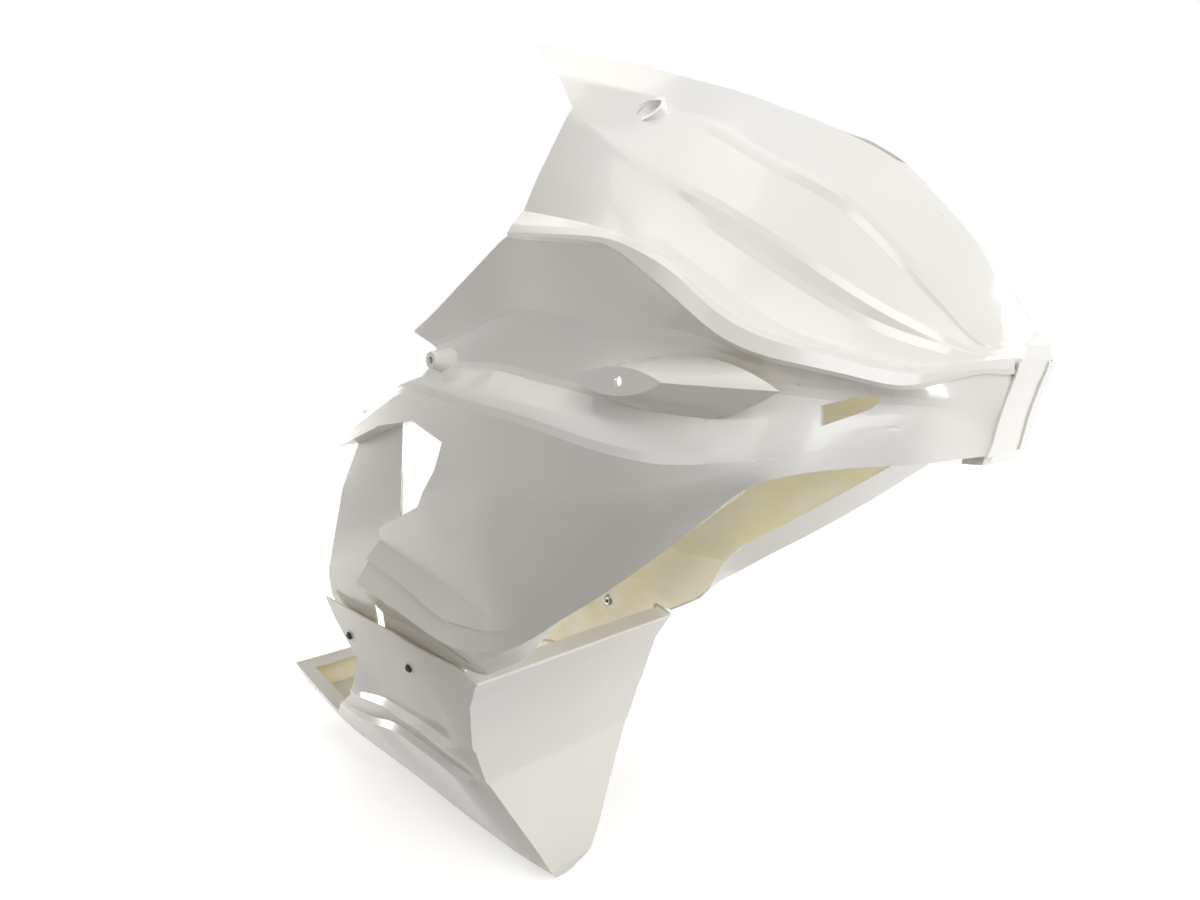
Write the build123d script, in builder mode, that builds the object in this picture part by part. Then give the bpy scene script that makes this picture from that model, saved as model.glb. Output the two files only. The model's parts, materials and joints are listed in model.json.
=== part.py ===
"""Motorcycle race fairing in white glass fibre: upper fairing, belly pan and the fasteners between them.

Millimetres, X forward, Y to the bike's left, Z up. The origin is midway between the two side mount holes.
The shells are lofted along X through wall sections. Each section is listed for the right-hand side as
(half width, height) from the top down, with heights measured from the front stay holes.
"""

import os
from math import cos, hypot, radians, sin

from build123d import *

WALL = 3.0
CREASE = 4.0
STAY_AT = (-12.0, 137.0, 1.0)
STAY_TILT = 48.0
STAY_R = 3.2
STAY_PAD_R = 11.0
POD_X, POD_Z = 40.0, -219.0
POD_FACE = 226.0
POD_HOLE_R = 4.0
BOSS_X, BOSS_Z = -198.0, -206.0
BOSS_FACE = 236.0
BOSS_HOLE_R = 3.6
POD_SINK = 4.0
BOSS_R = 8.0
BOSS_LENGTH = 22.0
STAY_PAD_DEPTH = 5.0
SCREW_R = 2.9
SCREW_HOLE_R = 3.2
HEAD_R = 5.5
HEAD_RISE = 3.0
PAD_R = 9.0
PAD_DEPTH = 14.0
PAD_RISE = 0.6
SOCKET_R = 2.0
NUT_R = 5.5
NUT_LENGTH = 5.0

# Corners of a section that are softened, counted along it from the right-hand end
COWL_SOFT = (1, 2, 5, 6, 8, 12, 14, 15, 18, 19)
SIDE_SOFT = (7, 8, 9, 10)
BELLY_SOFT = (6, 10)
# Upper half of the upper fairing: crest, screen edge, nose panel's edge, flap crease, lip top, lip edge,
# lip return
COWL = {
    250: ((0, -184), (7, -186), (30, -193), (36, -197), (43, -202), (45, -213), (34, -213)),
    238: ((0, -165), (8, -167), (57, -193), (64, -198), (73, -204), (77, -213), (64, -212)),
    215: ((0, -129), (8, -132), (61, -172), (84, -187), (121, -208), (126, -223), (112, -221)),
    175: ((0, -80), (8, -83), (67, -124), (112, -161), (163, -196), (168, -213), (155, -211)),
    130: ((0, -32), (12, -36), (82, -76), (135, -127), (199, -178), (203, -198), (190, -196)),
    80: ((0, 8), (46, -6), (104, -44), (157, -91), (224, -134), (226, -156), (213, -154)),
    30: ((0, 40), (77, 19), (121, -10), (168, -62), (230, -112), (233, -124), (220, -122)),
    -40: ((0, 72), (94, 48), (134, 22), (171, -14), (230, -102), (233, -112), (220, -110)),
    -100: ((0, 95), (106, 71), (146, 46), (172, 22), (229, -94), (232, -103), (219, -101)),
    -190: ((0, 128), (126, 104), (152, 82), (174, 60), (228, -84), (231, -94), (218, -92)),
}
# Depth of the groove beside the nose panel, then of the lamp recess: foot of its upper wall, floor, shelf
RECESS = {
    250: (0.5, 0.5, 0.5, 0.5), 238: (1, 1, 1, 1), 215: (4, 6, 9, 4), 175: (5, 14, 18, 9),
    130: (5, 18, 25, 12), 80: (4, 15, 23, 13), 30: (2, 4, 8, 9), -40: (1, 1, 3, 6),
    -100: (0, 0, 2, 5), -190: (0, 0, 1, 4),
}
# Lower half: seam under the lip, ridge, valley, jaw crease, fold, middle, lap top, lap step, lap foot,
# lower edge, return, flange end
SIDE = {
    248: ((40, -210), (33, -218), (27, -232), (25, -244), (24.6, -250), (24, -257), (23.6, -261),
          (23.2, -265), (22.6, -269), (22, -273), (15, -271.5), (8, -270)),
    238: ((71, -210), (61, -220), (48, -236), (41, -247), (39.5, -252), (38, -258.5), (37, -262),
          (36, -265.5), (35, -269), (34, -273), (24, -271.5), (14, -270)),
    215: ((121, -219.8), (110, -226), (104, -232), (104, -237), (106, -243), (108, -253), (108.9, -258),
          (109.6, -263.5), (110.2, -269), (110.6, -274), (95, -274), (80, -274)),
    175: ((163, -209.8), (153, -217), (147, -228), (148, -237), (151, -246), (153.5, -256),
          (154.8, -261.5), (155.9, -267), (156.8, -272), (157.4, -277), (141, -276), (124, -275)),
    140: ((192, -196), (181, -206), (173, -222), (180, -242), (188, -263), (189.8, -271), (190.3, -275),
          (190.5, -279), (190.4, -283), (190, -287), (170, -282.5), (150, -278)),
    80: ((221, -152.5), (199, -186), (197, -228), (211, -262), (217, -274), (212, -297), (208, -306),
         (203, -315), (196, -323.5), (188, -331), (163, -323.5), (138, -316)),
    30: ((228, -120.5), (204, -180), (202, -234), (225, -258), (231, -269), (222, -310), (214.5, -329),
         (206, -345), (196.5, -358), (186, -369), (160, -359.5), (133, -350)),
    -40: ((228, -108.5), (205, -172), (209, -224), (233, -245), (239, -256), (226, -320), (209, -367),
          (200, -385), (191, -402), (181, -418), (156, -407), (131, -396)),
    -83: ((227.5, -101), (205, -166), (211, -218), (235, -240), (240, -250), (227, -325), (203, -398),
          (196, -413), (188, -428), (178, -446), (154, -435), (130, -424)),
    -120: ((223, -114), (205, -162), (213, -212), (237, -236), (241, -246), (228, -330), (194, -434),
           (189, -446), (182.5, -458), (175, -471), (152, -461), (130, -452)),
    -165: ((220, -134), (206, -173), (216, -211), (236.6, -231), (240, -240), (227, -334), (191, -460),
           (190, -475), (187, -481), (184, -498), (160, -506), (147, -510)),
    -230: ((215, -163), (208, -190), (220, -210), (236, -225), (239, -233), (226, -340), (190, -454),
           (200, -480), (195.5, -484), (198, -508), (168, -540), (155, -551)),
    -330: ((208, -200), (212, -214), (222, -232), (229, -250), (233, -262), (222, -350), (194, -431),
           (205, -457), (200, -461), (206, -492), (170, -530), (160, -592)),
    -430: ((202, -232), (208, -250), (217, -270), (222, -290), (226, -302), (216, -384), (198, -410),
           (207, -438), (202, -442), (208, -479), (172, -527), (165, -592)),
}
# Inner strip behind the vent
STRIP = {
    -300: ((203, -262), (197, -376), (184, -480), (170, -540), (161, -594)),
    -440: ((207, -262), (204, -368), (189, -480), (173, -540), (166, -594)),
    -575: ((205, -262), (201, -368), (187, -490), (173, -545), (166, -594)),
}
# Belly pan: above the top edge, top edge, upper ledge, lower ledge (inner and outer edge each), bilge, keel
BELLY = {
    -225: ((168, -520), (161, -564), (134, -655), (132, -661), (113.5, -703), (110, -710), (30, -866),
           (0, -893)),
    -300: ((182, -520), (174, -564), (147, -664), (144.6, -671), (124, -716), (120.5, -723), (39, -869),
           (0, -896.5)),
    -330: ((186, -520), (179, -564), (146, -667), (154, -675), (123, -719), (129, -727), (41, -870),
           (0, -897)),
    -380: ((189, -520), (182, -562), (151, -660), (159, -668), (130, -710), (136, -718), (42, -870),
           (0, -895)),
    -460: ((190, -520), (183, -562), (152, -660), (159, -668), (134, -704), (140, -712), (43, -868),
           (0, -888)),
    -560: ((188, -520), (181, -562), (153, -675), (155, -681), (133, -722), (137, -730), (46, -862),
           (0, -878)),
    -760: ((176, -520), (168, -580), (142, -670), (140, -677), (116, -742), (115, -748), (58, -848),
           (0, -857)),
    -940: ((150, -520), (140, -580), (118, -670), (116, -676), (100, -735), (98, -740), (70, -806),
           (0, -814)),
}
WINDSCREEN = ((144, 0), (130, 13), (80, 46), (30, 77), (-40, 94), (-100, 106), (-205, 129))
HORN_REAR = ((-205, 140), (-182, 103), (-138, 70.5), (-104, 41.5), (-70.5, 7.3), (-77, -52),
             (-84.2, -107), (-84.2, -140), (-260, -140), (-260, 140))
PANEL_REAR = ((-260, -100), (-260, -171), (-266, -178), (-222, -197), (-220, -222), (-252, -230),
              (-440, -303), (-600, -303), (-600, -100))
VENT = ((-470, -325), (-411, -306), (-311, -276), (-237, -266), (-186, -283), (-208, -313), (-256, -357),
        (-372, -402), (-432, -486), (-470, -486))
STRIP_OUTLINE = ((-309, -266), (-330, -378), (-372, -440), (-440, -505), (-450, -552), (-450, -592),
                 (-545, -592), (-552, -550), (-567, -535), (-556, -503), (-457, -362), (-411, -306),
                 (-392, -266))
SLOT = ((166, -234), (168, -248), (191, -236), (196, -227), (182, -228))
BELLY_FRONT = ((-239, -562), (-262, -600), (-276, -655), (-283, -715), (-278, -765), (-268, -835),
               (-267, -868), (-290, -908))
BELLY_REAR = ((-290, -930), (-890, -930), (-908, -830), (-931, -768), (-782, -813), (-577, -690),
              (-513, -612), (-567, -534), (-384, -536), (-274, -549.5))
FRONT_FLANGE = ((-239, -562), (-263, -556), (-263, -559), (-239, -565.5))
RETURN_NOTCH = ((-200, -552), (-268, -552), (-282, -640), (-200, -640))
REAR_DAM = ((-908, -830), (-931, -768), (-927.5, -768), (-904.5, -830))
REAR_RIM = ((-931, -768), (-782, -813), (-770, -822), (-770, -825), (-782, -816.2), (-931, -771.2))
RIM_WIDTH = 24.0
# Front of the nose by height: x of its face, half width, radius of its corners
BEAK = {
    -183: (248.5, 7, 3), -186: (250.5, 14, 6), -193: (252, 33, 9), -202: (252, 44, 11), -214: (249, 46, 12),
    -222: (246, 42, 12), -246: (239.5, 38.5, 11), -268: (235.5, 38, 10), -281: (232.5, 36, 10),
}
BEAK_REAR = 17.0
SCREWS = ((-361, -577), (-512, -577))


def inset(points, depth):
    """The polyline moved to its right-hand side by depth, with mitred corners."""
    moved = []
    for i, (y, z) in enumerate(points):
        before = points[max(i - 1, 0)]
        after = points[min(i + 1, len(points) - 1)]
        normals = []
        for (a, b), (c, d) in ((before, (y, z)), ((y, z), after)):
            run = hypot(c - a, d - b)
            if run:
                normals.append(((d - b) / run, (a - c) / run))
        ny = sum(n[0] for n in normals) / len(normals)
        nz = sum(n[1] for n in normals) / len(normals)
        scale = depth / max(ny * ny + nz * nz, 0.35)
        moved.append((y + ny * scale, z + nz * scale))
    return moved


def soften(points, corners, reach):
    """The polyline with each of the numbered corners cut off by a short straight run."""
    soft = list(points)
    for i in sorted(corners, reverse=True):
        y, z = points[i]
        ends = []
        for a, b in (points[i - 1], points[i + 1]):
            run = hypot(a - y, b - z)
            share = min(reach, 0.4 * run) / run
            ends.append((y + share * (a - y), z + share * (b - z)))
        soft[i:i + 1] = ends
    return soft


def wall_section(x, points, corners=()):
    """Sketch of a wall of even thickness whose outer face follows the points, on the plane at x."""
    loop = Polyline(*soften(points, corners, CREASE), *reversed(inset(points, WALL)), close=True)
    return make_face(Plane.YZ.offset(x) * loop)


def right(points):
    return [(-w, z) for w, z in points]


def both_sides(points):
    """Right-hand points from the lowest up to the mid-plane, then the left-hand ones down."""
    return [(-w, z) for w, z in reversed(points)] + [(w, z) for w, z in points[1:]]


def between(table, x):
    """The table's values at x, on smooth curves through its stations that never overshoot."""
    stations = sorted(table)
    i = min(max(sum(s <= x for s in stations) - 1, 0), len(stations) - 2)
    width = stations[i + 1] - stations[i]
    t = (x - stations[i]) / width

    def slope(row, column, k):
        if k in (0, len(stations) - 1):
            return None
        (a, b, c) = (stations[k - 1], stations[k], stations[k + 1])
        rise, fall = ((table[b][row][column] - table[a][row][column]) / (b - a),
                      (table[c][row][column] - table[b][row][column]) / (c - b))
        return 0 if rise * fall <= 0 else 2 * rise * fall / (rise + fall)

    def value(row, column):
        p, q = table[stations[i]][row][column], table[stations[i + 1]][row][column]
        straight = (q - p) / width
        m, n = slope(row, column, i), slope(row, column, i + 1)
        m, n = straight if m is None else m, straight if n is None else n
        return ((1 + 2 * t) * (1 - t) ** 2 * p + t * (1 - t) ** 2 * width * m
                + t * t * (3 - 2 * t) * q + t * t * (t - 1) * width * n)

    return [(value(row, 0), value(row, 1)) for row in range(len(table[stations[0]]))]


def numbers_at(table, x):
    """The same for a table of plain numbers."""
    return [v for v, _ in between({s: [(v, 0) for v in table[s]] for s in table}, x)]


def with_dish(x):
    """The cowl's points at x with the groove beside the nose panel and the lamp recess put in."""
    crest, edge, panel, crease, lip_top, lip, under = between(COWL, x)
    step, wall, floor, shelf = numbers_at(RECESS, x)

    def below(start, end, share, depth):
        dy, dz = end[0] - start[0], end[1] - start[1]
        run = hypot(dy, dz)
        return (start[0] + share * dy + depth * dz / run, start[1] + share * dz - depth * dy / run)

    return [crest, edge, panel, below(panel, crease, 0.16, step), crease,
            below(crease, lip_top, 0.14, wall), below(crease, lip_top, 0.6, floor),
            below(crease, lip_top, 0.84, shelf), lip_top, lip, under]


def side_at(lines, x, z):
    """Half width of a lofted wall's outer face at x and z."""
    points = between(lines, x)
    for (w0, z0), (w1, z1) in zip(points, points[1:]):
        if z1 <= z <= z0:
            return w0 + (w1 - w0) * (z0 - z) / (z0 - z1)
    return points[-1][0]


def side_outline(points, half_width):
    """Sketch of a side-view outline on the plane at half_width on the right-hand side."""
    with BuildSketch(Plane.XZ.offset(half_width)) as outline:
        with BuildLine():
            Polyline(*points, close=True)
        make_face()
    return outline.sketch


def filled_section(x, points):
    """Sketch of the area inside an open polyline and the straight line that closes it."""
    return make_face(Plane.YZ.offset(x) * Polyline(*points, close=True))


def beak_section(z):
    """Sketch of the nose's front wall at height z: a shallow U, open to the rear."""
    front, width, corner = BEAK[z]
    outer = [(front - BEAK_REAR, -width), (front - corner, -width),
             (front - 0.3 * corner, 0.3 * corner - width), (front, corner - width)]
    outer += [(x, -y) for x, y in reversed(outer)]
    return make_face(Plane.XY.offset(z) * Polyline(*outer, *reversed(inset(outer, -WALL)), close=True))


def screw_plane(x, z):
    """Plane on the belly's outer face at x and z, facing out to the right."""
    w, above, ahead = side_at(BELLY, x, z), side_at(BELLY, x, z + 10), side_at(BELLY, x + 10, z)
    along, up = Vector(10, w - ahead, 0), Vector(0, w - above, 10)
    return Plane((x, -w, z), x_dir=along, z_dir=along.cross(up))


def both_hands(planes):
    """The planes and their mirror images on the left-hand side."""
    return planes + [Plane((p.origin.X, -p.origin.Y, p.origin.Z), x_dir=(p.x_dir.X, -p.x_dir.Y, p.x_dir.Z),
                           z_dir=(p.z_dir.X, -p.z_dir.Y, p.z_dir.Z)) for p in planes]


def stations(first, last, step):
    """Even stations from first back to last, about a step apart."""
    count = round((first - last) / step)
    return [last + (first - last) * i / count for i in range(count + 1)]


nose_stations = stations(-40, -190, 30) + stations(215, -10, 25) + [226, 238, 244, 250]
side_stations = stations(215, -430, 30) + [226, 238, 248]
belly_stations = stations(-225, -940, 30)
nose_sections = [wall_section(x, both_sides(with_dish(x)), COWL_SOFT) for x in nose_stations]
side_sections = [wall_section(x, right(between(SIDE, x))[::-1], SIDE_SOFT) for x in side_stations]
beak_sections = [beak_section(z) for z in sorted(BEAK)]
strip_sections = [wall_section(x, right(STRIP[x])[::-1]) for x in sorted(STRIP)]
behind_side = [filled_section(x, [(-150, between(SIDE, x)[6][1])]
                              + inset(right(between(SIDE, x)[:7])[::-1], 1)
                              + [(-150, between(SIDE, x)[0][1])]) for x in side_stations if x < -140]


def belly_points(x):
    """The belly's whole section at x, with the keel rounded off."""
    half = between(BELLY, x)
    (w, z), keel = half[-2:]
    half.insert(-1, (0.4 * w, keel[1] + 0.14 * (z - keel[1])))
    return half + [(-w, z) for w, z in reversed(half[:-1])]


belly_sections = [wall_section(x, belly_points(x), BELLY_SOFT) for x in belly_stations]
inside_belly = [filled_section(x, inset(belly_points(x), 1)) for x in belly_stations]
screw_planes = [screw_plane(x, z) for x, z in SCREWS]
pod_base = min(POD_FACE, side_at(SIDE, POD_X, POD_Z)) - POD_SINK
stay_plane = Plane((STAY_AT[0], -STAY_AT[1], STAY_AT[2]), x_dir=(1, 0, 0),
                   z_dir=(0, -sin(radians(STAY_TILT)), cos(radians(STAY_TILT))))

with BuildPart() as nose:
    loft(nose_sections)
    with BuildSketch(Plane.XY.offset(-60)):
        with BuildLine():
            Spline(*WINDSCREEN, tangents=((0, 1), (-1, 0.2)))
            Spline(*[(x, -y) for x, y in WINDSCREEN], tangents=((0, -1), (-1, -0.2)))
            Line((WINDSCREEN[-1][0], WINDSCREEN[-1][1]), (WINDSCREEN[-1][0], -WINDSCREEN[-1][1]))
        make_face()
    extrude(amount=260, mode=Mode.SUBTRACT)
    with BuildSketch(Plane.XZ):
        with BuildLine():
            Polyline(*HORN_REAR, close=True)
        make_face()
    extrude(amount=300, both=True, mode=Mode.SUBTRACT)

with BuildPart() as beak:
    loft(beak_sections, ruled=True)

with BuildPart() as strip:
    loft(strip_sections)
    extrude(side_outline(STRIP_OUTLINE, 100), amount=200, mode=Mode.INTERSECT)

with BuildPart() as duct:
    with BuildSketch(Plane.XZ.offset(192)):
        with BuildLine():
            Polyline(*VENT, close=True)
        make_face()
        offset(amount=WALL, kind=Kind.INTERSECTION)
        with BuildLine():
            Polyline(*VENT, close=True)
        make_face(mode=Mode.SUBTRACT)
        with Locations((-412, -400)):
            Rectangle(100, 220, align=(Align.MAX, Align.CENTER), mode=Mode.SUBTRACT)
    extrude(amount=90)
    loft(behind_side, mode=Mode.INTERSECT)

def lens(half_length, half_height):
    """Sketch of a pointed oval."""
    with BuildSketch() as oval:
        with BuildLine():
            ThreePointArc((-half_length, 0), (0, half_height), (half_length, 0))
            ThreePointArc((half_length, 0), (0, -half_height), (-half_length, 0))
        make_face()
    return oval.sketch


def pod_block(thinner):
    """The side mount's raised pod, or the hollow inside it when it is made thinner."""
    with BuildPart() as block:
        with BuildSketch(Plane.XZ.offset(pod_base - thinner)):
            with Locations((POD_X + 34, POD_Z - 4)):
                add(lens(86 - 2 * thinner, 24 - thinner))
        with BuildSketch(Plane.XZ.offset(POD_FACE - thinner)):
            with Locations((POD_X - 3, POD_Z)):
                add(lens(46 - 2 * thinner, 11 - thinner))
        loft(ruled=True)
    return block.part


with BuildPart() as side:
    loft(side_sections)
    extrude(side_outline(PANEL_REAR, 100), amount=200, mode=Mode.SUBTRACT)
    extrude(side_outline(VENT, 100), amount=200, mode=Mode.SUBTRACT)
    extrude(side_outline(SLOT, 80), amount=150, mode=Mode.SUBTRACT)
    extrude(side_outline(RETURN_NOTCH, 100), amount=100, mode=Mode.SUBTRACT)
    add(strip.part)
    add(duct.part)
    add(pod_block(0))
    add(pod_block(WALL), mode=Mode.SUBTRACT)
    with Locations(Plane((BOSS_X, -BOSS_FACE, BOSS_Z), x_dir=(1, 0, 0), z_dir=(0, -1, 0))):
        Cone(BOSS_R + 5, BOSS_R, BOSS_LENGTH, align=(Align.CENTER, Align.CENTER, Align.MAX))
        Cylinder(BOSS_HOLE_R, 60, mode=Mode.SUBTRACT)
    with Locations(Plane((POD_X, -POD_FACE, POD_Z), x_dir=(1, 0, 0), z_dir=(0, -1, 0))):
        Cylinder(POD_HOLE_R, 60, mode=Mode.SUBTRACT)
    with Locations(*[plane.offset(-WALL - PAD_RISE) for plane in screw_planes]):
        Cylinder(PAD_R, PAD_DEPTH - WALL - PAD_RISE, align=(Align.CENTER, Align.CENTER, Align.MAX))
    with Locations(*screw_planes):
        Cylinder(SCREW_HOLE_R, 60, mode=Mode.SUBTRACT)
    with Locations(*[plane.offset(-PAD_DEPTH) for plane in screw_planes]):
        Cylinder(PAD_R + 1, 30, align=(Align.CENTER, Align.CENTER, Align.MAX), mode=Mode.SUBTRACT)

with BuildPart() as upper:
    add(nose.part)
    with Locations(*both_hands([stay_plane])):
        Cylinder(STAY_PAD_R + 4, STAY_PAD_DEPTH + WALL, align=(Align.CENTER, Align.CENTER, Align.MAX))
        Cylinder(STAY_PAD_R, 2 * STAY_PAD_DEPTH, mode=Mode.SUBTRACT)
        Cylinder(STAY_R, 60, mode=Mode.SUBTRACT)
    add(beak.part)
    add(side.part)
    mirror(side.part, about=Plane.XZ)
    with BuildSketch(Plane.XZ):
        with BuildLine():
            Polyline(*[(BEAK[z][0], z) for z in sorted(BEAK)], (300, max(BEAK)), (300, min(BEAK) - 20),
                     (BEAK[min(BEAK)][0], min(BEAK) - 20), close=True)
        make_face()
    extrude(amount=80, both=True, mode=Mode.SUBTRACT)

with BuildPart() as belly_core:
    loft(inside_belly)


def belly_web(points):
    """Side-view outline carried across the belly and stopped inside its walls."""
    with BuildPart() as web:
        extrude(side_outline(points, -250), amount=500)
        add(belly_core.part, mode=Mode.INTERSECT)
    return web.part


rim_inner = [(x, side_at(BELLY, x, z) - RIM_WIDTH) for x, z in ((-755, -822), (-905, -776))]

with BuildPart() as rear_rim:
    add(belly_web(REAR_RIM))
    with BuildSketch(Plane.XY.offset(-860)):
        with BuildLine():
            Polyline(*rim_inner, *[(x, -y) for x, y in reversed(rim_inner)], close=True)
        make_face()
    extrude(amount=120, mode=Mode.SUBTRACT)

with BuildPart() as belly:
    loft(belly_sections)
    extrude(side_outline(BELLY_FRONT + BELLY_REAR, -250), amount=500, mode=Mode.INTERSECT)
    add(belly_web(BELLY_FRONT + tuple((x - WALL, z) for x, z in reversed(BELLY_FRONT))))
    add(belly_web(FRONT_FLANGE))
    add(belly_web(REAR_DAM))
    add(rear_rim.part)
    with Locations(*both_hands([plane.offset(PAD_RISE) for plane in screw_planes])):
        Cylinder(PAD_R, WALL + 2 * PAD_RISE, align=(Align.CENTER, Align.CENTER, Align.MAX))
        Cylinder(SCREW_HOLE_R, 30, mode=Mode.SUBTRACT)

with BuildPart() as screw:
    Cylinder(SCREW_R, PAD_RISE + PAD_DEPTH + NUT_LENGTH + 1, align=(Align.CENTER, Align.CENTER, Align.MAX))
    Cylinder(HEAD_R, HEAD_RISE, align=(Align.CENTER, Align.CENTER, Align.MIN))
    chamfer(screw.edges().filter_by(GeomType.CIRCLE).sort_by(Axis.Z)[-1], 0.5 * HEAD_RISE)
    with BuildSketch(Plane.XY.offset(HEAD_RISE)):
        RegularPolygon(SOCKET_R, 6)
    extrude(amount=-0.6 * HEAD_RISE, mode=Mode.SUBTRACT)

with BuildPart() as nut:
    with BuildSketch():
        RegularPolygon(NUT_R, 6)
        Circle(SCREW_R, mode=Mode.SUBTRACT)
    extrude(amount=-NUT_LENGTH)

with BuildPart() as screws:
    with Locations(*both_hands([plane.offset(PAD_RISE) for plane in screw_planes])):
        add(screw.part)

with BuildPart() as nuts:
    with Locations(*both_hands([plane.offset(-PAD_DEPTH) for plane in screw_planes])):
        add(nut.part)

with BuildPart() as upper_fairing:
    with Locations((-POD_X, 0, -POD_Z)):
        add(upper.part)

with BuildPart() as belly_pan:
    with Locations((-POD_X, 0, -POD_Z)):
        add(belly.part)

with BuildPart() as belly_screws:
    with Locations((-POD_X, 0, -POD_Z)):
        add(screws.part)

with BuildPart() as belly_nuts:
    with Locations((-POD_X, 0, -POD_Z)):
        add(nuts.part)

upper_fairing.part.label = "upper_fairing"
belly_pan.part.label = "belly_pan"
belly_screws.part.label = "belly_screws"
belly_nuts.part.label = "belly_nuts"

os.makedirs("parts", exist_ok=True)
export_step(upper_fairing.part, "parts/upper_fairing.step")
export_step(belly_pan.part, "parts/belly_pan.step")
export_step(belly_screws.part, "parts/belly_screws.step")
export_step(belly_nuts.part, "parts/belly_nuts.step")
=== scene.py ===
"""Race fairing in white glass fibre: gelcoat outside, bare laminate inside, black screws along the lap."""

import json
import math

import bpy
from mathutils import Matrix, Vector

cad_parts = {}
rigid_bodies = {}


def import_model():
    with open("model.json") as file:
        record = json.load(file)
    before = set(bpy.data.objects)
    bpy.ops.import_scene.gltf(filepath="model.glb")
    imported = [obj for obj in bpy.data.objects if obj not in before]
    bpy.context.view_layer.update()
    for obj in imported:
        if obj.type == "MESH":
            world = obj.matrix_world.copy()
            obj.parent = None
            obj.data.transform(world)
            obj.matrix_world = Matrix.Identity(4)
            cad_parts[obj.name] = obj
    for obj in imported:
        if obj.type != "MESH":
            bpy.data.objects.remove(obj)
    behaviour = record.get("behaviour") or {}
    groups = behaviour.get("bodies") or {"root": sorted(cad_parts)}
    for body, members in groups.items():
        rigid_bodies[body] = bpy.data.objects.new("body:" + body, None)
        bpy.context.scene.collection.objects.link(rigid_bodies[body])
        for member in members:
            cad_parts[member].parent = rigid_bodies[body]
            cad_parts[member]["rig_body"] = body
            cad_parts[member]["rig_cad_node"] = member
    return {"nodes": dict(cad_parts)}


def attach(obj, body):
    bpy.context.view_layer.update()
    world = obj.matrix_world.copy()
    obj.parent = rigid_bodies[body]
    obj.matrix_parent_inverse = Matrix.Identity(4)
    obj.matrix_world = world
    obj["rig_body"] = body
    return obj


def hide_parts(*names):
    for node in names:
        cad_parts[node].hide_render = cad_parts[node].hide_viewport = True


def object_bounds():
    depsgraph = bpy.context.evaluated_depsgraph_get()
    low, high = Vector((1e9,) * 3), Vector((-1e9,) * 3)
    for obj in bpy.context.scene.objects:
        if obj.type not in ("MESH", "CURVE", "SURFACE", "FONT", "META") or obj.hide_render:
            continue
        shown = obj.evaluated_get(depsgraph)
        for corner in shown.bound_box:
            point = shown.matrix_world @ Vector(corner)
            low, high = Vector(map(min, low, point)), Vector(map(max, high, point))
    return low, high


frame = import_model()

bl_info = {
    "name": "Race fairing finish",
    "version": (1, 0, 0),
    "blender": (4, 5, 0),
    "location": "View3D > Sidebar > Fairing",
    "description": "Finishes the fairing's shells and fasteners and sets up a plain studio",
    "category": "Object",
}

CAD_BOX = [list(corner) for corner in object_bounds()]
MERGE_DISTANCE = 0.00002  # joins the loose triangles of a CAD shell

# sizes that the finishes' patterns follow, in metres
TONE_PATCH = 0.18
SPECK_SPACING = 0.035
STRAND_LENGTH = 0.045
RESIN_POOL = 0.09
OXIDE_GRAIN = 0.0015
ZINC_MOTTLE = 0.004
PAPER_TOOTH = 0.002
# the three ways in which the mat's bundles lie
STRAND_TURNS = ((0.4, 0.2, 0.1), (1.5, 0.6, 0.9), (0.2, 1.3, 2.1))

# a point in each shell's hollow goes along with x, and inner faces look towards it
UPPER_CORE = ((0.02, 0.06), (-0.08, 0.069), (-0.16, 0.019), (-0.27, -0.131), (-0.47, -0.181))
BELLY_CORE_FRONT, BELLY_CORE_REAR, BELLY_CORE_Z = -0.37, -0.90, -0.381
INWARD = 0.2
# the upper fairing's places that are moulded on both faces, and its edges across the rear
NOSE_TIP_X, NOSE_TIP_Z = 0.125, 0.06
SCREEN_RIM_X, SCREEN_RIM_Z, SCREEN_RIM_TILT = -0.03, 0.165, 0.25
REAR_EDGE_X, REAR_EDGE_TILT = -0.22, 0.05
# the belly pan's rear rim: where its top starts, a point on it, its fall along x and its depth
RIM_FRONT, RIM_X, RIM_Z, RIM_FALL, RIM_DEPTH = -0.79, -0.822, -0.594, 0.302, 0.008
RIM_LEVEL = 0.7

# nose, by height: where its front face lies in x, and where the cowl's edge lies beside it in y
NOSE_TOP, NOSE_FOOT = 0.014, -0.055
NOSE_FRONT = ((0.018, 0.2120), (0.012, 0.2108), (0.006, 0.2092), (0, 0.2071), (-0.01, 0.2041),
              (-0.02, 0.2014), (-0.03, 0.1990), (-0.04, 0.1971), (-0.048, 0.1957), (-0.054, 0.1943),
              (-0.06, 0.1930))
COWL_EDGE = ((0.014, 0.0415), (0.006, 0.0385), (-0.005, 0.038), (-0.048, 0.0385), (-0.054, 0.0415))
CORNER_COLUMNS, CORNER_ROWS = 2, 14
CORNER_SINK = 0.0001  # how far the corner fill stays behind the nose's front face

# studio
FLOOR_Z = CAD_BOX[0][2] - 0.0005
FLOOR_SIZE = 14
SWEEP_START, SWEEP_END = 0.8, 2.6
LAMP_AIM = Vector((-0.35, 0, -0.15))
# each lamp's place from the point that it is aimed at, its width and its tint
LAMPS = {
    "key": ((1.75, -0.45, 1.0), 1.1, (0.98, 0.99, 1.0)),
    "side": ((1.5, 1.2, 0.8), 1.2, (1.0, 1.0, 1.0)),
    "top": ((0.65, -0.45, 2.05), 1.4, (1.0, 0.96, 0.89)),
    "rear": ((-1.0, 0.0, 2.0), 1.4, (1.0, 0.95, 0.87)),
    "fill": ((0.6, -1.55, 0.5), 1.0, (1.0, 0.98, 0.96)),
    "low": ((0.95, 0.45, -0.42), 0.35, (1.0, 1.0, 1.0)),
    "tail": ((-1.5, -0.5, 0.0), 0.5, (1.0, 0.96, 0.9)),
}
CAMERA_PLACE = (0.400, -0.6307, 0.023)
CAMERA_LOOK = Vector((-0.719, 0.695, -math.tan(math.radians(7.4))))
SENSOR_WIDTH = 36.0
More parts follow.
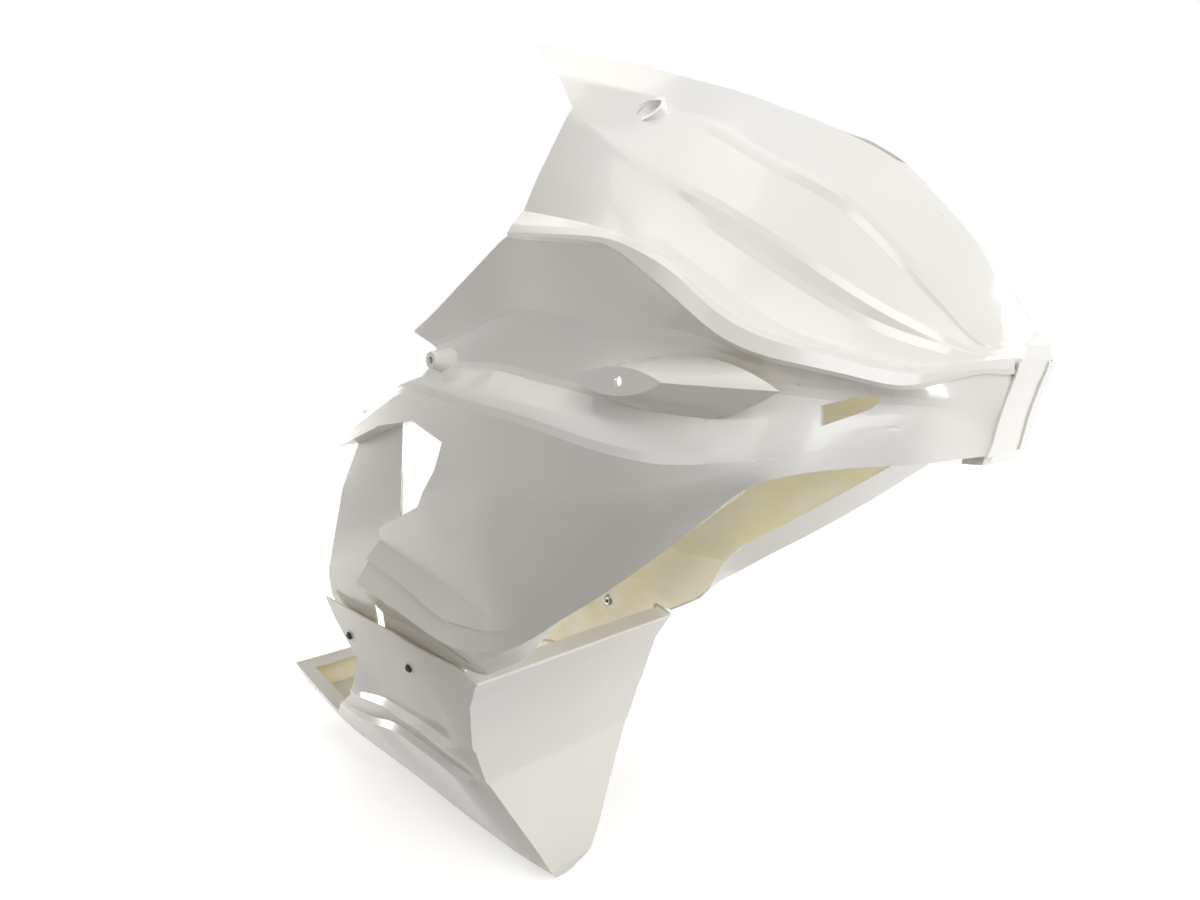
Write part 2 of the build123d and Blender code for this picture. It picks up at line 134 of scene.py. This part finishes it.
CLIP_START = 0.01


class ShellSettings(bpy.types.PropertyGroup):
    gelcoat_colour: bpy.props.StringProperty(
        name="Gelcoat colour", description="White gelcoat on the outer faces, as sRGB hex",
        default="#EEEDEB")
    gelcoat_warm: bpy.props.StringProperty(
        name="Aged gelcoat", description="Slightly yellowed patches of the gelcoat, as sRGB hex",
        default="#EBE8E0")
    grime_colour: bpy.props.StringProperty(
        name="Workshop grime", description="Grey of the dust specks, as sRGB hex", default="#A9A49B")
    laminate_colour: bpy.props.StringProperty(
        name="Laminate colour", description="Cured resin over the strand mat, as sRGB hex",
        default="#FDF6E2")
    laminate_deep: bpy.props.StringProperty(
        name="Deep resin", description="Resin where it stands thicker, as sRGB hex", default="#F7EBCC")
    strand_colour: bpy.props.StringProperty(
        name="Dry strands", description="Glass strands near the surface, as sRGB hex", default="#FFFAEA")
    peel_size: bpy.props.FloatProperty(
        name="Orange peel", description="Distance between ripples of the gelcoat",
        default=0.009, min=0.001, unit="LENGTH")
    strand_width: bpy.props.FloatProperty(
        name="Strand width", description="Width of a bundle of chopped strands",
        default=0.0022, min=0.0005, unit="LENGTH")
    corner_inner: bpy.props.FloatProperty(
        name="Corner start",
        description="Distance from the centre plane at which the nose's corner fill starts",
        default=0.026, min=0.0, unit="LENGTH")
    corner_wall: bpy.props.FloatProperty(
        name="Corner wall", description="Thickness of the nose's corner fill",
        default=0.0016, min=0.0002, unit="LENGTH")
    smooth_angle: bpy.props.FloatProperty(
        name="Smooth angle", description="Edges of the upper fairing that turn more than this stay sharp",
        default=math.radians(12), subtype="ANGLE")
    belly_angle: bpy.props.FloatProperty(
        name="Belly smooth angle", description="The same for the belly pan, whose front wall is one sweep",
        default=math.radians(24), subtype="ANGLE")


class FastenerSettings(bpy.types.PropertyGroup):
    oxide_colour: bpy.props.StringProperty(
        name="Black oxide", description="Blackened steel of the screws, as sRGB hex", default="#26272A")
    zinc_colour: bpy.props.StringProperty(
        name="Zinc", description="Zinc-plated steel of the nuts, as sRGB hex", default="#B4B8BC")


class StageSettings(bpy.types.PropertyGroup):
    floor_colour: bpy.props.StringProperty(
        name="Floor", description="Pale floor as the camera sees it, as sRGB hex", default="#F4F3F1")
    bounce_colour: bpy.props.StringProperty(
        name="Floor bounce", description="Floor as the object's undersides see it, as sRGB hex",
        default="#8F8A84")
    floor_lift: bpy.props.FloatProperty(
        name="Floor lift", description="How much the floor near the object is lifted towards white",
        default=0.5, min=0.0)
    key_watts: bpy.props.FloatProperty(
        name="Key light", description="Soft lamp in front of the nose and above it",
        default=15.5, min=0.0, unit="POWER")
    side_watts: bpy.props.FloatProperty(
        name="Side light", description="Large lamp off the picture's right edge",
        default=12.0, min=0.0, unit="POWER")
    top_watts: bpy.props.FloatProperty(
        name="Top light", description="Soft warm lamp overhead",
        default=8.3, min=0.0, unit="POWER")
    rear_watts: bpy.props.FloatProperty(
        name="Rear light", description="Warm lamp above the tail",
        default=7.5, min=0.0, unit="POWER")
    fill_watts: bpy.props.FloatProperty(
        name="Fill light", description="Soft lamp beside the camera",
        default=5.4, min=0.0, unit="POWER")
    low_watts: bpy.props.FloatProperty(
        name="Low light", description="Small lamp near the floor, off the picture's right edge",
        default=4.8, min=0.0, unit="POWER")
    tail_watts: bpy.props.FloatProperty(
        name="Tail light", description="Warm lamp behind the tail that lights the inside",
        default=10.5, min=0.0, unit="POWER")
    ambient: bpy.props.FloatProperty(
        name="Ambient", description="Strength of the room's own light", default=0.05, min=0.0)
    lens: bpy.props.FloatProperty(
        name="Lens", description="Focal length on a 36 mm wide sensor",
        default=23.19, min=1.0, unit="CAMERA")


def linear(colour):
    """An sRGB hex colour as a linear RGBA tuple."""
    parts = [int(colour[i:i + 2], 16) / 255 for i in (1, 3, 5)]
    return tuple(p / 12.92 if p <= 0.04045 else ((p + 0.055) / 1.055) ** 2.4 for p in parts) + (1.0,)


def add_node(tree, kind, settings=None, **links):
    """Adds a node with its settings.

    A link is a socket to read from or a value for that input. It goes by the input's name, or by its number as in i6.
    """
    node = tree.nodes.new(kind)
    for name, value in (settings or {}).items():
        setattr(node, name, value)
    for name, value in links.items():
        by_number = name[0] == "i" and name[1:].isdigit()
        socket = node.inputs[int(name[1:]) if by_number else name.replace("_", " ")]
        if isinstance(value, bpy.types.NodeSocket):
            tree.links.new(value, socket)
        else:
            socket.default_value = value
    return node


def new_material(name):
    """An empty node material and its tree."""
    material = bpy.data.materials.new(name)
    material.use_nodes = True
    material.node_tree.nodes.clear()
    return material, material.node_tree


def gelcoat(settings):
    """White polyester gelcoat, sprayed into a waxed mould: glossy, faintly rippled, yellowed in places."""
    material, tree = new_material("polyester_gelcoat_white")
    here = add_node(tree, "ShaderNodeTexCoord").outputs["Object"]
    # broad patches from uneven spraying and age
    patch = add_node(tree, "ShaderNodeTexNoise", Vector=here, Scale=1 / TONE_PATCH, Detail=2.0, Roughness=0.4)
    aged = add_node(tree, "ShaderNodeMapRange", Value=patch.outputs["Fac"], From_Min=0.25, From_Max=0.75)
    tone = add_node(tree, "ShaderNodeMix", {"data_type": "RGBA"}, Factor=aged.outputs[0],
                    i6=linear(settings.gelcoat_colour), i7=linear(settings.gelcoat_warm))
    # dust specks under a millimetre across, drawn at 1.2 mm so that they show
    speck = add_node(tree, "ShaderNodeTexVoronoi", {"feature": "F1"}, Vector=here, Scale=1 / SPECK_SPACING)
    dot = add_node(tree, "ShaderNodeMapRange", Value=speck.outputs["Distance"],
                   From_Min=0.016, From_Max=0.034, To_Min=1.0, To_Max=0.0)
    dust = add_node(tree, "ShaderNodeMath", {"operation": "MULTIPLY"}, i0=dot.outputs[0], i1=0.35)
    colour = add_node(tree, "ShaderNodeMix", {"data_type": "RGBA"}, Factor=dust.outputs[0],
                      i6=tone.outputs[2], i7=linear(settings.grime_colour))
    rough = add_node(tree, "ShaderNodeMapRange", Value=patch.outputs["Fac"],
                     From_Min=0.3, From_Max=0.75, To_Min=0.18, To_Max=0.25)
    peel = add_node(tree, "ShaderNodeTexNoise", Vector=here, Scale=1 / settings.peel_size, Detail=1.0)
    bump = add_node(tree, "ShaderNodeBump", Height=peel.outputs["Fac"], Strength=0.05, Distance=0.001)
    shader = add_node(tree, "ShaderNodeBsdfPrincipled", Base_Color=colour.outputs[2],
                      Roughness=rough.outputs[0], Normal=bump.outputs[0], IOR=1.53, Coat_Weight=0.35,
                      Coat_Roughness=0.06)
    add_node(tree, "ShaderNodeOutputMaterial", Surface=shader.outputs[0])
    return material


def laminate(settings):
    """Bare chopped-strand laminate, rolled by hand: straw-coloured resin with pale bundles of glass in it."""
    material, tree = new_material("chopped_strand_laminate")
    here = add_node(tree, "ShaderNodeTexCoord").outputs["Object"]
    stretch = (1 / STRAND_LENGTH, 1 / settings.strand_width, 1 / settings.strand_width)
    bundles = None
    for turn in STRAND_TURNS:
        drawn = add_node(tree, "ShaderNodeMapping", Vector=here, Rotation=turn, Scale=stretch)
        strand = add_node(tree, "ShaderNodeTexNoise", Vector=drawn.outputs[0], Scale=1.0, Detail=1.5)
        lift = add_node(tree, "ShaderNodeMapRange", Value=strand.outputs["Fac"], From_Min=0.52, From_Max=0.7)
        bundles = lift.outputs[0] if bundles is None else add_node(
            tree, "ShaderNodeMath", {"operation": "MAXIMUM"}, i0=bundles, i1=lift.outputs[0]).outputs[0]
    # resin's pools and thin spots
    pool = add_node(tree, "ShaderNodeTexNoise", Vector=here, Scale=1 / RESIN_POOL, Detail=4.0)
    depth = add_node(tree, "ShaderNodeMapRange", Value=pool.outputs["Fac"], From_Min=0.4, From_Max=0.7)
    resin = add_node(tree, "ShaderNodeMix", {"data_type": "RGBA"}, Factor=depth.outputs[0],
                     i6=linear(settings.laminate_colour), i7=linear(settings.laminate_deep))
    pale = add_node(tree, "ShaderNodeMath", {"operation": "MULTIPLY"}, i0=bundles, i1=0.25)
    colour = add_node(tree, "ShaderNodeMix", {"data_type": "RGBA"}, Factor=pale.outputs[0],
                      i6=resin.outputs[2], i7=linear(settings.strand_colour))
    rough = add_node(tree, "ShaderNodeMapRange", Value=bundles, To_Min=0.32, To_Max=0.6)
    bump = add_node(tree, "ShaderNodeBump", Height=bundles, Strength=0.3, Distance=0.0005)
    shader = add_node(tree, "ShaderNodeBsdfPrincipled", Base_Color=colour.outputs[2],
                      Roughness=rough.outputs[0], Normal=bump.outputs[0], IOR=1.55, Subsurface_Weight=0.55,
                      Subsurface_Scale=0.01, Subsurface_Radius=(1.0, 0.85, 0.5))
    add_node(tree, "ShaderNodeOutputMaterial", Surface=shader.outputs[0])
    return material


def oxide_steel(settings):
    """Black-oxide steel of the screws: a dark satin skin with a fine grain."""
    material, tree = new_material("black_oxide_steel")
    here = add_node(tree, "ShaderNodeTexCoord").outputs["Object"]
    grain = add_node(tree, "ShaderNodeTexNoise", Vector=here, Scale=1 / OXIDE_GRAIN, Detail=3.0)
    rough = add_node(tree, "ShaderNodeMapRange", Value=grain.outputs["Fac"], To_Min=0.32, To_Max=0.55)
    bump = add_node(tree, "ShaderNodeBump", Height=grain.outputs["Fac"], Strength=0.12, Distance=0.0002)
    shader = add_node(tree, "ShaderNodeBsdfPrincipled", Base_Color=linear(settings.oxide_colour),
                      Metallic=0.6, Roughness=rough.outputs[0], Normal=bump.outputs[0])
    add_node(tree, "ShaderNodeOutputMaterial", Surface=shader.outputs[0])
    return material


def zinc_steel(settings):
    """Zinc-plated steel of the nuts: bright, with the faint mottle of the plating bath."""
    material, tree = new_material("zinc_plated_steel")
    here = add_node(tree, "ShaderNodeTexCoord").outputs["Object"]
    mottle = add_node(tree, "ShaderNodeTexNoise", Vector=here, Scale=1 / ZINC_MOTTLE, Detail=3.0)
    rough = add_node(tree, "ShaderNodeMapRange", Value=mottle.outputs["Fac"], To_Min=0.22, To_Max=0.42)
    shader = add_node(tree, "ShaderNodeBsdfPrincipled", Base_Color=linear(settings.zinc_colour),
                      Metallic=1.0, Roughness=rough.outputs[0])
    add_node(tree, "ShaderNodeOutputMaterial", Surface=shader.outputs[0])
    return material


def rays_seen(tree):
    """1 for rays that show a surface to the camera, straight, mirrored or through glass, and 0 for the rest."""
    path = add_node(tree, "ShaderNodeLightPath")
    both = add_node(tree, "ShaderNodeMath", {"operation": "MAXIMUM"}, i0=path.outputs["Is Camera Ray"],
                    i1=path.outputs["Is Glossy Ray"])
    return add_node(tree, "ShaderNodeMath", {"operation": "MAXIMUM"}, i0=both.outputs[0],
                    i1=path.outputs["Is Transmission Ray"]).outputs[0]


def floor_finish(settings):
    """Matt paper sweep: white to the camera with the object's shadow on it, greyer in its bounce."""
    material, tree = new_material("matt_paper")
    here = add_node(tree, "ShaderNodeTexCoord").outputs["Object"]
    tooth = add_node(tree, "ShaderNodeTexNoise", Vector=here, Scale=1 / PAPER_TOOTH, Detail=2.0)
    bump = add_node(tree, "ShaderNodeBump", Height=tooth.outputs["Fac"], Strength=0.05, Distance=0.0002)
    colour = add_node(tree, "ShaderNodeMix", {"data_type": "RGBA"}, Factor=rays_seen(tree),
                      i6=linear(settings.bounce_colour), i7=linear(settings.floor_colour))
    matt = add_node(tree, "ShaderNodeBsdfDiffuse", Color=colour.outputs[2], Roughness=0.6,
                    Normal=bump.outputs[0])
    # the sweep runs up to white where the lamps no longer reach
    far = add_node(tree, "ShaderNodeVectorMath", {"operation": "LENGTH"}, i0=here)
    rise = add_node(tree, "ShaderNodeMapRange", {"interpolation_type": "SMOOTHSTEP"},
                    Value=far.outputs["Value"], From_Min=SWEEP_START, From_Max=SWEEP_END,
                    To_Min=settings.floor_lift, To_Max=1.0)
    seen = add_node(tree, "ShaderNodeMath", {"operation": "MULTIPLY"}, i0=rays_seen(tree), i1=rise.outputs[0])
    lift = add_node(tree, "ShaderNodeEmission", Color=(1, 1, 1, 1), Strength=seen.outputs[0])
    shader = add_node(tree, "ShaderNodeAddShader", i0=matt.outputs[0], i1=lift.outputs[0])
    add_node(tree, "ShaderNodeOutputMaterial", Surface=shader.outputs[0])
    return material


def pick(obj):
    """Makes obj the only selected and the active object."""
    bpy.ops.object.select_all(action="DESELECT")
    obj.select_set(True)
    bpy.context.view_layer.objects.active = obj


def along(line, at):
    """Value at a place on a line given as (place, value) pairs, from the highest place down."""
    if at >= line[0][0]:
        return line[0][1]
    for (a, p), (b, q) in zip(line, line[1:]):
        if at >= b:
            return p + (q - p) * (a - at) / (a - b)
    return line[-1][1]


def shell_copy(node, name, angle):
    """A merged copy of a CAD shell, smooth-shaded up to an angle, which then stands for it."""
    pick(frame["nodes"][node])
    bpy.ops.object.duplicate()
    shell = bpy.context.view_layer.objects.active
    shell.name = shell.data.name = name
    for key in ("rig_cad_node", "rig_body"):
        if key in shell:
            del shell[key]
    shell.parent = None
    bpy.ops.mesh.customdata_custom_splitnormals_clear()
    bpy.ops.object.editmode_toggle()
    bpy.ops.mesh.select_all(action="SELECT")
    bpy.ops.mesh.remove_doubles(threshold=MERGE_DISTANCE)
    bpy.ops.object.editmode_toggle()
    bpy.ops.object.shade_smooth_by_angle(angle=angle, keep_sharp_edges=False)
    return shell


def finish_shell(shell, node, inside, settings):
    """Gelcoat all over, then laminate on the faces that inside() picks."""
    materials = shell.data.materials
    materials.clear()
    materials.append(bpy.data.materials.get("polyester_gelcoat_white") or gelcoat(settings))
    materials.append(bpy.data.materials.get("chopped_strand_laminate") or laminate(settings))
    for part in (*shell.data.vertices, *shell.data.edges):
        part.select = False
    for face in shell.data.polygons:
        face.material_index = 0
        face.select = inside(face.center, face.normal)
    pick(shell)
    # in face mode, so that edit mode does not spread the selection over the corners
    bpy.context.tool_settings.mesh_select_mode = (False, False, True)
    bpy.ops.object.editmode_toggle()
    shell.active_material_index = 1
    bpy.ops.object.material_slot_assign()
    bpy.ops.mesh.select_all(action="DESELECT")
    bpy.ops.object.editmode_toggle()
    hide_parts(node)
    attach(shell, "root")


def faces_in(point, normal, core):
    """True if the normal points towards the core point rather than away from it."""
    out = point - core
    return normal.dot(out) < -INWARD * out.length


def upper_inside(point, normal):
    """True where the upper fairing shows bare laminate."""
    if point.x < REAR_EDGE_X and abs(normal.y) < REAR_EDGE_TILT:
        return False
    if point.x > NOSE_TIP_X and point.z < NOSE_TIP_Z:
        return False
    if point.x > SCREEN_RIM_X and point.z > SCREEN_RIM_Z and abs(normal.z) < SCREEN_RIM_TILT:
        return False
    core = Vector((min(point.x, UPPER_CORE[0][0]), 0, along(UPPER_CORE, point.x)))
    return faces_in(point, normal, core)


def belly_inside(point, normal):
    """True where the belly pan shows bare laminate."""
    rim = RIM_Z - RIM_FALL * (point.x - RIM_X)
    if normal.z > RIM_LEVEL and point.x < RIM_FRONT and point.z > rim - RIM_DEPTH:
        return False
    core = Vector((min(max(point.x, BELLY_CORE_REAR), BELLY_CORE_FRONT), 0, BELLY_CORE_Z))
    return faces_in(point, normal, core)


def nose_corner(side, settings):
    """Closes the groove between the nose's front face and the cowl's edge on one side."""
    bpy.ops.object.select_all(action="DESELECT")
    bpy.ops.mesh.primitive_grid_add(x_subdivisions=CORNER_COLUMNS, y_subdivisions=CORNER_ROWS, size=2)
    corner = bpy.context.view_layer.objects.active
    middle, half = 0.5 * (NOSE_TOP + NOSE_FOOT), 0.5 * (NOSE_TOP - NOSE_FOOT)
    for vertex in corner.data.vertices:
        height = middle + half * vertex.co.y
        width = along(COWL_EDGE, height) - settings.corner_inner
        across = settings.corner_inner + width * (vertex.co.x + 1) / 2
        vertex.co = (along(NOSE_FRONT, height) - CORNER_SINK, side * across, height)
    thick = corner.modifiers.new("wall", "SOLIDIFY")
    thick.thickness, thick.offset = settings.corner_wall, side
    bpy.ops.object.modifier_apply(modifier="wall")
    bpy.ops.object.editmode_toggle()
    bpy.ops.mesh.select_all(action="SELECT")
    bpy.ops.mesh.normals_make_consistent(inside=False)
    bpy.ops.object.editmode_toggle()
    return corner


class FAIRING_OT_upper(bpy.types.Operator):
    """Finish the upper fairing's shell"""
    bl_idname = "fairing.upper"
    bl_label = "Upper fairing"

    def execute(self, context):
        settings = context.scene.fairing_shell
        corners = [nose_corner(side, settings) for side in (-1, 1)]
        shell = shell_copy("upper_fairing", "upper_shell", settings.smooth_angle)
        weigh = shell.modifiers.new("even_facets", "WEIGHTED_NORMAL")
        weigh.keep_sharp = True
        for corner in corners:
            corner.select_set(True)
        bpy.ops.object.join()
        finish_shell(shell, "upper_fairing", upper_inside, settings)
        return {"FINISHED"}


class FAIRING_OT_belly(bpy.types.Operator):
    """Finish the belly pan's shell"""
    bl_idname = "fairing.belly"
    bl_label = "Belly pan"

    def execute(self, context):
        settings = context.scene.fairing_shell
        shell = shell_copy("belly_pan", "belly_shell", settings.belly_angle)
        finish_shell(shell, "belly_pan", belly_inside, settings)
        return {"FINISHED"}


class FAIRING_OT_fasteners(bpy.types.Operator):
    """Finish the screws and nuts along the lap"""
    bl_idname = "fairing.fasteners"
    bl_label = "Screws and nuts"

    def execute(self, context):
        settings = context.scene.fairing_fasteners
        for node, material in (("belly_screws", oxide_steel(settings)), ("belly_nuts", zinc_steel(settings))):
            piece = frame["nodes"][node]
            piece.data.materials.clear()
            piece.data.materials.append(material)
        return {"FINISHED"}


class FAIRING_OT_stage(bpy.types.Operator):
    """Set up the floor, the backdrop, the lights and the camera"""
    bl_idname = "fairing.stage"
    bl_label = "Studio"

    def execute(self, context):
        settings = context.scene.fairing_stage
        scene = context.scene
        scene.view_settings.view_transform = "Standard"
        bpy.ops.object.select_all(action="DESELECT")
        bpy.ops.mesh.primitive_plane_add(size=FLOOR_SIZE, location=(0, 0, FLOOR_Z))
        floor = context.view_layer.objects.active
        floor.name = floor.data.name = "floor"
        bpy.ops.object.transform_apply(location=True, rotation=True, scale=True)
        floor.data.materials.append(floor_finish(settings))
        scene.world = bpy.data.worlds.new("white_room")
        scene.world.use_nodes = True
        tree = scene.world.node_tree
        tree.nodes.clear()
        seen = add_node(tree, "ShaderNodeMapRange", Value=rays_seen(tree), To_Min=settings.ambient, To_Max=1.0)
        shade = add_node(tree, "ShaderNodeBackground", Color=(1, 1, 1, 1), Strength=seen.outputs[0])
        add_node(tree, "ShaderNodeOutputWorld", Surface=shade.outputs[0])
        for name, (place, width, tint) in LAMPS.items():
            away = Vector(place)
            bpy.ops.object.light_add(type="AREA", location=LAMP_AIM + away)
            lamp = context.view_layer.objects.active
            lamp.name = lamp.data.name = name
            lamp.rotation_euler = away.to_track_quat("Z", "Y").to_euler()
            lamp.data.size, lamp.data.color = width, tint
            lamp.data.energy = getattr(settings, name + "_watts")
        bpy.ops.object.camera_add(location=CAMERA_PLACE)
        camera = context.view_layer.objects.active
        camera.rotation_euler = CAMERA_LOOK.to_track_quat("-Z", "Y").to_euler()
        camera.data.sensor_width, camera.data.lens = SENSOR_WIDTH, settings.lens
        camera.data.clip_start = CLIP_START
        scene.camera = camera
        return {"FINISHED"}


class FAIRING_PT_panel(bpy.types.Panel):
    bl_idname = "FAIRING_PT_panel"
    bl_label = "Race fairing"
    bl_space_type = "VIEW_3D"
    bl_region_type = "UI"
    bl_category = "Fairing"

    def draw(self, context):
        for operator in ("fairing.upper", "fairing.belly", "fairing.fasteners", "fairing.stage"):
            self.layout.operator(operator)
        for group in ("fairing_shell", "fairing_fasteners", "fairing_stage"):
            settings = getattr(context.scene, group)
            box = self.layout.box()
            for name in settings.__annotations__:
                box.prop(settings, name)


CLASSES = (ShellSettings, FastenerSettings, StageSettings, FAIRING_OT_upper, FAIRING_OT_belly,
           FAIRING_OT_fasteners, FAIRING_OT_stage, FAIRING_PT_panel)


def register():
    for cls in CLASSES:
        bpy.utils.register_class(cls)
    bpy.types.Scene.fairing_shell = bpy.props.PointerProperty(type=ShellSettings)
    bpy.types.Scene.fairing_fasteners = bpy.props.PointerProperty(type=FastenerSettings)
    bpy.types.Scene.fairing_stage = bpy.props.PointerProperty(type=StageSettings)


def unregister():
    del bpy.types.Scene.fairing_shell
    del bpy.types.Scene.fairing_fasteners
    del bpy.types.Scene.fairing_stage
    for cls in reversed(CLASSES):
        bpy.utils.unregister_class(cls)


def main():
    register()
    bpy.ops.fairing.upper()
    bpy.ops.fairing.belly()
    bpy.ops.fairing.fasteners()
    bpy.ops.fairing.stage()


if __name__ == "__main__":
    main()
